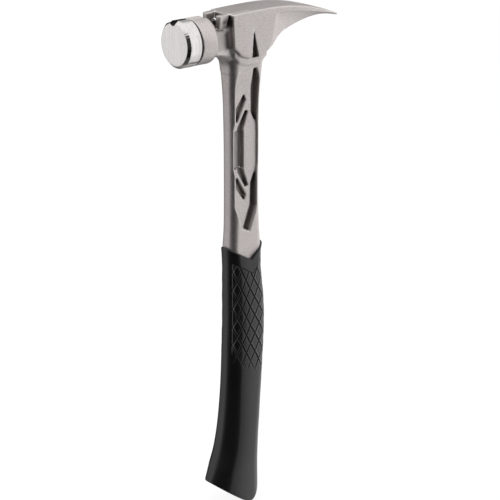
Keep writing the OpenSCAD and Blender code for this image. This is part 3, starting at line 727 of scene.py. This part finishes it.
def grip_shares(z):
    """The table's shares at a height, where the butt's rows are squeezed under the first."""
    toe, settled = TOE_RISE + BUTT_R, GRIP_SHARES[0][0] * GRIP_LIP
    height = z if z > settled else toe + (settled - toe) * (z - BUTT_R) / (settled - BUTT_R)
    rows = [(toe / GRIP_LIP, *BUTT_SHARES)] + GRIP_SHARES
    return [table(height / GRIP_LIP, rows, k) for k in (1, 2, 3)]


def groove_depth(across, z, u):
    """Depth of the cut lines between the diamonds, and the share of a painted highlight along the
    diamonds' edges and beside the border.

    across counts half diamonds from the border."""
    top = GRIP_LIP - DIAMOND_TOP + lip_height(u) - 0.6
    foot = GRIP_LIP - DIAMOND_TOP - DIAMOND_L - DIAMOND_SKEW * u
    half_h = DIAMOND_H / 2
    slope = COLUMN_W / np.hypot(COLUMN_W, half_h)
    nearest = np.full(across.shape, np.inf)
    highlit = np.zeros(across.shape)
    for side in (1, -1):
        phase = z / half_h + side * across
        away = (phase - 2 * np.round(phase / 2)) * half_h * slope
        nearest = np.minimum(nearest, np.abs(away))
        highlit = np.maximum(highlit, near(np.abs(side * away - LINE_W), HIGHLIGHT_W))
    below_top, above_foot = rise(top - z, 0, TOP_FADE), rise(z - foot, 0, FOOT_FADE)
    field = below_top * rise(across, -0.06, 0) * rise(z - foot, -FOOT_FADE, 8)
    line = near(nearest, LINE_W / 2)
    crown = rise(nearest, 0, DIAMOND_DISH_W) ** 0.5
    depth = (DIAMOND_DISH * (1 - crown) + LINE_DEPTH * line) * field
    border = near(np.abs(across + 0.1) * COLUMN_W, BORDER_W) * above_foot * rise(top - z, -0.5, 0.3)
    rim = near(np.abs(z - top), BORDER_W) * rise(across, -0.2, 0)
    strength = 0.15 + 0.85 * rise(across, 2, 7) + 0.6 * np.clip(1 - across, 0, 1)
    highlight_share = highlit * field * np.minimum(strength, 1)
    # Painted highlight beside the border
    edge = near(np.abs(across * COLUMN_W - 0.45), BORDER_HIGHLIGHT_W) * above_foot * below_top
    highlight_share = np.maximum(highlight_share, BORDER_HIGHLIGHT_SHOWN * edge) * (1 - line)
    return np.maximum(depth, LINE_DEPTH * np.maximum(border, rim * 0.9)), highlight_share


def build_grip():
    """The rubber grip as one grid of rings, from the butt's middle up and over the lip."""
    n = GRIP_COLUMNS
    t = np.arange(n) / n
    field_low = GRIP_LIP - DIAMOND_TOP - DIAMOND_L - DIAMOND_SKEW - 12
    lower = np.arange(BUTT_R, field_low, COARSE_ROW)
    upper = np.arange(field_low, GRIP_LIP, FINE_ROW)
    heights = np.concatenate([lower, upper, [GRIP_LIP]])
    settled = GRIP_SHARES[0][0] * GRIP_LIP
    rings, painted_shades, highlight_shares = [], [], []

    def base_ring(z, inset):
        front, back, half = grip_shares(z)
        crown = table(z / GRIP_LIP, SIDE_CROWN, 1)
        front, back = (share * GRIP_HALF_L + CROWN_REACH * crown - inset for share in (front, back))
        half = half * GRIP_HALF_W - inset
        x, y = ring_points(t, front, back, half, half * GRIP_R_SHARE)
        u = (x + front) / (front + back)
        return x, y * (1 + crown * (CROWN_FALL - (2 * u - 1) ** 2)), u

    def add_ring(x, y, z, painted_shade, highlight_share):
        rings.append(np.stack([x, y, z], 1))
        painted_shades.append(np.broadcast_to(painted_shade, n))
        highlight_shares.append(np.broadcast_to(highlight_share, n))

    for angle in np.linspace(0.02, np.pi / 2, BUTT_RINGS + 1)[:-1]:
        x, y, u = base_ring(0.0, BUTT_R * (1 - np.sin(angle)))
        add_ring(x, y, butt_height(u) + BUTT_R * (1 - np.cos(angle)), 0.0, 0.0)
    for z in heights:
        x, y, u = base_ring(z, 0)
        settle = rise(z, BUTT_R, settled)
        low = (butt_height(u) + BUTT_R) * (1 - settle) + max(z, settled) * settle
        tall = rise(z, field_low, GRIP_LIP)
        high = z + lip_height(u) * np.where(lip_height(u) < 0, tall**6, tall**20)
        place = np.where(z < field_low, low, high)
        across = (np.abs(t - 0.5) * 2 - BORDER_SHARE) / (1 - BORDER_SHARE) * DIAMOND_COLUMNS
        depth, highlight_share = groove_depth(across, place, u)
        nx, ny = np.gradient(y), -np.gradient(x)
        inward = (depth + LIP_ROUND * near(GRIP_LIP - z, LIP_ROUND) ** 2) / (np.hypot(nx, ny) + 1e-9)
        # Painted shade in the cut lines, growing with their depth
        painted_shade = np.clip(depth / LINE_DEPTH - 0.2, 0, 1)
        add_ring(x - nx * inward, y - ny * inward, place, painted_shade, highlight_share)
    for inset, sink, painted_shade in LIP_RINGS:
        x, y, u = base_ring(GRIP_LIP - max(sink - 2, 0), inset)
        add_ring(x, y, GRIP_LIP - sink + lip_height(u), painted_shade, 0.0)

    vertices = np.concatenate(rings)
    vertices[:, 0] += SHAFT_X
    top_ring = (len(rings) - 1) * n
    caps = []
    for k in range(n // 2):
        strip = list(dict.fromkeys([k, k + 1, n - k - 1, (n - k) % n]))
        caps += [strip[::-1], [top_ring + place for place in strip]]
    obj = mesh_object("rubber_grip", vertices, ring_faces(len(rings), n) + caps)
    store(obj.data, "painted_shade", np.concatenate(painted_shades))
    store(obj.data, "edge", np.concatenate(highlight_shares))
    return obj


rubber_grip = build_grip()
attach(rubber_grip, "root")
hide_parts("grip")

# Materials

# Colours as red, green and blue, with the darker one first in a pair
TITANIUM = (0.660, 0.610, 0.596), (0.722, 0.673, 0.656)
TITANIUM_FLECKS = (0.72, 0.71, 0.70), (1.18, 1.18, 1.18)
# Painted shade for recesses, and a painted highlight for convex edges
TITANIUM_PAINTED_SHADE, TITANIUM_EDGE_HIGHLIGHT = (0.150, 0.130, 0.122), (0.90, 0.87, 0.85)
FLECK_SHARE, EDGE_HIGHLIGHT_SHARE, BOSS_SHADE = 0.5, 0.8, 0.85
# Stored painted shade and painted highlight where their colours start to show and show in full
PAINTED_SHADE_SPAN, EDGE_HIGHLIGHT_SPAN = (0.18, 0.88), (0.16, 0.50)
STEEL_BANDS = (0.74, 0.72, 0.705), (0.88, 0.855, 0.84)
STEEL_LINES = (0.86, 0.86, 0.86), (1.04, 1.04, 1.04)
# The groove's colour is painted shade; the seam's is a dark joint
STEEL_GROOVE_SHADE, STEEL_SEAM = (0.012, 0.011, 0.011), (0.035, 0.033, 0.032)
RUBBER = (0.0016, 0.0016, 0.0015), (0.0034, 0.0033, 0.0032)
# Painted shade for the cut lines and the lip, and a painted highlight for the diamonds' edges
RUBBER_GROOVE_SHADE, RUBBER_EDGE_HIGHLIGHT = (0.0008, 0.0008, 0.0008), (0.20, 0.197, 0.194)
SEAL = (0.010, 0.010, 0.010), (0.022, 0.021, 0.021)
BRIGHT_STEEL = (0.50, 0.50, 0.50), (0.64, 0.64, 0.64)
BLACK_STEEL = (0.05, 0.05, 0.055), (0.10, 0.10, 0.105)
# The magnet's face from its middle: shares of its radius, and how light each place is. The thin light
# ring at the magnet's edge is a painted highlight
MAGNET_RINGS = [
    (0.0, 0.10), (0.54, 0.10), (0.58, 0.80), (0.66, 0.80), (0.69, 0.03), (0.80, 0.03), (0.83, 0.85),
]
# Height of the bumps in metres, and the middle part of a noise that is stretched out
BUMP_HEIGHT = 0.0003
NOISE_MIDDLE = 0.34, 0.66


class Shader:
    """The nodes of a new material, or of the world, built one at a time."""

    def __init__(self, name, world=None):
        owner = world or bpy.data.materials.new(name)
        owner.use_nodes = True
        self.owner = owner
        self.nodes, self.links = owner.node_tree.nodes, owner.node_tree.links
        self.surface = self.nodes.get("Principled BSDF")

    def add(self, kind, settings=None, **inputs):
        node = self.nodes.new(kind)
        for key, value in (settings or {}).items():
            setattr(node, key, value)
        for key, value in inputs.items():
            self.put(node, key.replace("_", " "), value)
        return node

    def put(self, node, key, value):
        socket = node.inputs[key]
        if isinstance(value, bpy.types.NodeSocket):
            self.links.new(value, socket)
        else:
            socket.default_value = value

    def coat(self, **values):
        """Sets sockets of the surface and returns the material."""
        for key, value in values.items():
            self.put(self.surface, key.replace("_", " "), value)
        return self.owner

    def place(self):
        return self.add("ShaderNodeTexCoord").outputs["Object"]

    def axes(self, vector):
        return self.add("ShaderNodeSeparateXYZ", Vector=vector).outputs

    def attribute(self, name):
        return self.add("ShaderNodeAttribute", {"attribute_name": name}).outputs["Fac"]

    def noise(self, scale, detail=4.0, stretch=(1, 1, 1)):
        mapped = self.add("ShaderNodeMapping", Vector=self.place(), Scale=stretch)
        node = self.add("ShaderNodeTexNoise", Vector=mapped.outputs[0], Scale=scale, Detail=detail)
        return node.outputs["Fac"]

    def maths(self, operation, a, b):
        node = self.add("ShaderNodeMath", {"operation": operation})
        self.put(node, 0, a)
        self.put(node, 1, b)
        return node.outputs[0]

    def vector(self, operation, a, b=None):
        node = self.add("ShaderNodeVectorMath", {"operation": operation})
        self.put(node, 0, a)
        if b is not None:
            self.put(node, 1, b)
        return node.outputs["Value" if operation in ("LENGTH", "DOT_PRODUCT") else "Vector"]

    def from_axis(self, y, z):
        """Distance in metres from a line along x, whose place is in millimetres."""
        shifted = self.vector("ADD", self.place(), (0, -y * MM, -z * MM))
        return self.vector("LENGTH", self.vector("MULTIPLY", shifted, (0, 1, 1)))

    def remap(self, value, low, high, to_low=0.0, to_high=1.0, soft=False):
        node = self.add("ShaderNodeMapRange", {"interpolation_type": "SMOOTHSTEP" if soft else "LINEAR"})
        ends = {"From Min": low, "From Max": high, "To Min": to_low, "To Max": to_high}
        for key, number in {"Value": value, **ends}.items():
            self.put(node, key, number)
        return node.outputs[0]

    def band(self, value, low, high):
        return self.remap(value, 0.0, 1.0, low, high)

    def spread(self, value):
        """A noise's middle values stretched over the whole range."""
        return self.remap(value, *NOISE_MIDDLE)

    def colours(self, share, dark, light, blend_type="MIX"):
        node = self.add("ShaderNodeMix", {"data_type": "RGBA", "blend_type": blend_type})
        self.put(node, 0, share)
        for key, colour in ((6, dark), (7, light)):
            self.put(node, key, (*colour, 1) if isinstance(colour, tuple) else colour)
        return node.outputs[2]

    def bump(self, *layers):
        last = None
        for height, strength in layers:
            node = self.add("ShaderNodeBump", Strength=strength, Distance=BUMP_HEIGHT, Height=height)
            if last:
                self.put(node, "Normal", last)
            last = node.outputs[0]
        return last


def boss_shade(s):
    """Shade on the cheek beside the nail-start boss, which a flat's few vertices can't hold."""
    place, shade = s.axes(s.place()), BOSS_SHADE
    boss_x, cheek_x = SHAFT_X - BOSS_REACH, SHAFT_X - CHEEK_REACH
    for axis, low, high in (
        ("X", boss_x - 0.5, boss_x + 4.0),
        ("X", cheek_x + 1.0, cheek_x),
        ("Z", HAMMER_H - 0.5, HAMMER_H - 6.2),
        ("Z", HAMMER_H - 12.5, HAMMER_H - 10.0),
    ):
        shade = s.maths("MULTIPLY", s.remap(place[axis], low * MM, high * MM), shade)
    return shade


def titanium_material():
    """Investment-cast titanium, blasted to a fine satin grain with faint clouding, with painted shade in
    recesses and beside the boss and a painted highlight on convex edges.
    """
    s = Shader("cast_titanium")
    cloud, speck, grain = s.noise(60, 3), s.noise(1250, 2), s.noise(2600, 2)
    flecks = s.colours(s.spread(speck), *TITANIUM_FLECKS)
    colour = s.colours(FLECK_SHARE, s.colours(cloud, *TITANIUM), flecks, "MULTIPLY")
    # Painted shade in recesses and beside the boss
    painted_shade = s.maths("MAXIMUM", s.attribute("painted_shade"), boss_shade(s))
    colour = s.colours(s.remap(painted_shade, *PAINTED_SHADE_SPAN, soft=True), colour, TITANIUM_PAINTED_SHADE)
    # Painted highlight on convex edges
    edge_highlight = s.remap(s.attribute("edge"), *EDGE_HIGHLIGHT_SPAN, to_high=EDGE_HIGHLIGHT_SHARE, soft=True)
    return s.coat(
        Metallic=1.0,
        Base_Color=s.colours(edge_highlight, colour, TITANIUM_EDGE_HIGHLIGHT),
        Roughness=s.band(cloud, 0.40, 0.48),
        Normal=s.bump((grain, 0.5), (speck, 0.35)),
    )


def face_steel_material():
    """Polished steel with brush lines up the striking face, with painted shade in the nail groove and on
    the flat beside it.
    """
    s = Shader("brushed_face_steel")
    lines, bands = s.noise(900, 3, (1, 1, 0.04)), s.noise(85, 2, (1, 1, 0.06))
    place = s.place()
    x = s.axes(place)["X"]
    away = s.from_axis(NOTCH_RISE * np.sin(NOTCH_TURN), POLL_Z + NOTCH_RISE * np.cos(NOTCH_TURN))
    groove = s.remap(away, (NOTCH_R + 0.04) * MM, (NOTCH_R + 0.16) * MM, soft=True)
    beyond = s.vector("DOT_PRODUCT", place, (0, np.sin(FLAT_TURN), np.cos(FLAT_TURN)))
    flat_place = CAP_R - FLAT_SINK + POLL_Z * np.cos(FLAT_TURN)
    on_flat = s.remap(beyond, (flat_place - 0.12) * MM, (flat_place - 0.03) * MM)
    brushed = s.colours(s.spread(lines), *STEEL_LINES)
    bright = s.colours(0.8, s.colours(s.spread(bands), *STEEL_BANDS), brushed, "MULTIPLY")
    # Painted shade in the nail groove and on its flat
    colour = s.colours(groove, STEEL_GROOVE_SHADE, s.colours(on_flat, bright, STEEL_GROOVE_SHADE))
    seam = s.remap(x, (FACE_HIGH.x - 0.75) * MM, (FACE_HIGH.x - 0.45) * MM, soft=True)
    behind_face = s.remap(x, (FACE_LOW.x + 0.05) * MM, (FACE_LOW.x + 0.25) * MM)
    return s.coat(
        Base_Color=s.colours(seam, colour, STEEL_SEAM),
        Metallic=s.band(behind_face, 0.72, 1.0),
        Roughness=s.band(behind_face, s.band(lines, 0.22, 0.32), s.band(lines, 0.12, 0.22)),
        Anisotropic=0.45,
        Tangent=s.add("ShaderNodeTangent", {"direction_type": "RADIAL"}).outputs[0],
        Normal=s.bump((lines, 0.07)),
    )


def rubber_material():
    """Moulded black rubber with a fine matt grain, with painted shade in the cut lines and at the lip
    and a painted highlight along the diamonds' edges.
    """
    s = Shader("moulded_rubber")
    cloud, grain, painted_shade = s.noise(45, 4), s.noise(2400, 2), s.attribute("painted_shade")
    # Painted highlight along the diamonds' edges and beside the border
    colour = s.colours(s.attribute("edge"), s.colours(cloud, *RUBBER), RUBBER_EDGE_HIGHLIGHT)
    return s.coat(
        Base_Color=s.colours(painted_shade, colour, RUBBER_GROOVE_SHADE),
        Roughness=s.band(painted_shade, s.band(cloud, 0.32, 0.40), 0.95),
        Specular_IOR_Level=0.70,
        Normal=s.bump((grain, 0.28)),
    )


def plain_metal(name, colours, rough, scale):
    s = Shader(name)
    marks = s.noise(scale, 4)
    colour = s.colours(marks, *colours)
    return s.coat(Metallic=1.0, Base_Color=colour, Roughness=s.band(marks, rough * 0.8, rough * 1.2))


def magnet_material():
    """A nickel-plated cup with the magnet set into it, a dark joint between the two, and a painted
    highlight on the magnet's edge.
    """
    s = Shader("nickel_cup_magnet")
    share = s.maths("MULTIPLY", s.from_axis(0, MAGNET_Z), 1 / (MAGNET_R * MM))
    ramp = s.add("ShaderNodeValToRGB", Fac=share)
    while len(ramp.color_ramp.elements) < len(MAGNET_RINGS):
        ramp.color_ramp.elements.new(0.5)
    for element, (where, value) in zip(ramp.color_ramp.elements, MAGNET_RINGS):
        element.position = where
        element.color = (value, value * 0.98, value * 0.96, 1)
    rough = s.band(s.noise(300), 0.12, 0.2)
    return s.coat(Metallic=1.0, Base_Color=ramp.outputs["Color"], Roughness=rough)


def seal_material():
    s = Shader("seal_rubber")
    cloud = s.noise(400, 3)
    return s.coat(Base_Color=s.colours(cloud, *SEAL), Roughness=s.band(cloud, 0.5, 0.65))


def dress(obj, material):
    obj.data.materials.clear()
    obj.data.materials.append(material)


bright_steel = plain_metal("bright_steel", BRIGHT_STEEL, 0.3, 700)
dress(casting, titanium_material())
dress(steel_face, face_steel_material())
dress(rubber_grip, rubber_material())
dress(NODES["face_seal_ring"], seal_material())
dress(NODES["face_screw"], plain_metal("black_steel", BLACK_STEEL, 0.4, 500))
dress(NODES["face_key_pin"], bright_steel)
dress(NODES["lock_washer"], bright_steel)
dress(NODES["nail_magnet"], magnet_material())

# Studio

FLOOR_SIZE = 12000.0
FLOOR_GLOW, FLOOR_GLOW_SHARE = 1.08, 0.82
CAMERA_PLACE = Vector((-0.8950, -1.1049, 0.6991))
CAMERA_AHEAD = Vector((0.5931, 0.7353, -0.3280))
CAMERA_RIGHT = Vector((0.7784, -0.6278, 0.0))
FOCAL_PIXELS, FRAME_PIXELS, SENSOR = 1951.94, 500, 36.0
CAMERA_NEAR, CAMERA_FAR = 0.05, 20
BOX_TARGET, BOX_SIZE, BOX_POWER = (0, 0, 0.2), (0.9, 1.3), 9
# Sides of the studio that polished metal shows dark or half lit. Each has a direction, the
# cosines where a soft step starts and ends, and the share of light that it takes or leaves
DARK_SIDE = (-0.83, -0.55, 0.0), 0.50, 0.72, 0.965
DARK_FRONT = (-0.29, -0.92, -0.26), 0.69, 0.85, 0.97
LIGHT_LEFT = {
    "behind": ((0.60, 0.75, 0.28), 0.80, 0.94, 0.42),
    "far side": ((0.20, 0.97, 0.03), 0.84, 0.93, 0.05),
    "left, round the window": ((-0.593, 0.735, -0.328), 0.60, 0.88, 0.64),
    "left window": ((-0.593, 0.735, -0.328), 0.955, 0.99, 1.42),
    "left floor": ((-0.20, 0.72, -0.66), 0.80, 0.96, 0.5),
    "below, behind": ((0.36, 0.70, -0.62), 0.84, 0.96, 0.3),
    "below, left": ((-0.55, -0.25, -0.80), 0.70, 0.90, 0.12),
}
SPREAD_LIGHT = 0.75


def build_floor():
    """A white floor that keeps the object's shadow and doesn't show in reflections."""
    e = FLOOR_SIZE / 2
    corners = [(-e, -e, 0), (e, -e, 0), (e, e, 0), (-e, e, 0)]
    obj = mesh_object("floor", corners, [(0, 1, 2, 3)], smooth=False)
    s = Shader("floor_white")
    rays = s.add("ShaderNodeLightPath").outputs
    s.coat(Base_Color=(0.9, 0.9, 0.9, 1), Roughness=0.9)
    glow = s.add("ShaderNodeEmission", Color=(1, 1, 1, 1), Strength=FLOOR_GLOW)
    seen = s.maths("MAXIMUM", rays["Is Camera Ray"], rays["Is Glossy Ray"])
    mix = s.add("ShaderNodeMixShader")
    s.put(mix, 0, s.maths("MULTIPLY", seen, FLOOR_GLOW_SHARE))
    s.put(mix, 1, s.surface.outputs[0])
    s.put(mix, 2, glow.outputs[0])
    s.put(s.nodes["Material Output"], "Surface", mix.outputs[0])
    dress(obj, s.owner)
    obj.visible_glossy = False


def build_world():
    """White to the camera, plain to spread light, and a studio with dark sides to reflections."""
    world = bpy.data.worlds.new("studio")
    bpy.context.scene.world = world
    s = Shader("studio", world)
    direction = s.add("ShaderNodeTexCoord").outputs["Generated"]
    height = s.axes(direction)["Z"]

    def lobe(towards, low, high, value_low, value_high):
        """A soft step on how nearly a direction points towards a place."""
        aim = tuple(Vector(towards).normalized())
        cosine = s.vector("DOT_PRODUCT", direction, aim)
        return s.remap(cosine, low, high, value_low, value_high, soft=True)

    towards, low, high, dark = DARK_SIDE
    below_window = s.remap(height, 0.38, 0.60, 1.0, 0.0, soft=True)
    dark = s.maths("MULTIPLY", lobe(towards, low, high, 0.0, dark), below_window)
    towards, low, high, dark_front = DARK_FRONT
    dark = s.maths("MAXIMUM", dark, lobe(towards, low, high, 0.0, dark_front))
    studio = s.maths("SUBTRACT", 1.0, dark)
    for towards, low, high, left in LIGHT_LEFT.values():
        studio = s.maths("MULTIPLY", studio, lobe(towards, low, high, 1.0, left))
    studio = s.maths("MULTIPLY", studio, s.remap(height, -0.98, -0.5, 0.6, 1.0, soft=True))
    rays = s.add("ShaderNodeLightPath").outputs
    camera, glossy = rays["Is Camera Ray"], rays["Is Glossy Ray"]
    spread = s.maths("MULTIPLY", s.maths("SUBTRACT", 1.0, glossy), SPREAD_LIGHT)
    seen = s.maths("ADD", s.maths("MULTIPLY", studio, glossy), spread)
    unseen = s.maths("MULTIPLY", s.maths("SUBTRACT", 1.0, camera), seen)
    background = s.nodes["Background"]
    s.put(background, "Color", (1, 1, 1, 1))
    s.put(background, "Strength", s.maths("ADD", unseen, camera))


def build_softbox(name, place):
    lamp = bpy.data.lights.new(name, "AREA")
    lamp.shape = "RECTANGLE"
    lamp.size, lamp.size_y = BOX_SIZE
    lamp.energy = BOX_POWER
    obj = new_object(name, lamp)
    obj.location = place
    aim = Vector(BOX_TARGET) - Vector(place)
    obj.rotation_euler = aim.to_track_quat("-Z", "Y").to_euler()
    obj.visible_glossy = False


def build_camera():
    data = bpy.data.cameras.new("camera")
    data.sensor_width = SENSOR
    data.lens = FOCAL_PIXELS / FRAME_PIXELS * SENSOR
    data.clip_start, data.clip_end = CAMERA_NEAR, CAMERA_FAR
    obj = new_object("camera", data)
    up = CAMERA_RIGHT.cross(CAMERA_AHEAD)
    axes = Matrix((CAMERA_RIGHT, up, -CAMERA_AHEAD)).transposed()
    obj.matrix_world = Matrix.Translation(CAMERA_PLACE) @ axes.to_4x4()
    bpy.context.scene.camera = obj


build_floor()
build_world()
build_softbox("left_box", (-1.3, 0.6, 0.9))
build_softbox("right_box", (1.3, -0.7, 0.8))
build_camera()
bpy.context.scene.view_settings.view_transform = "Standard"
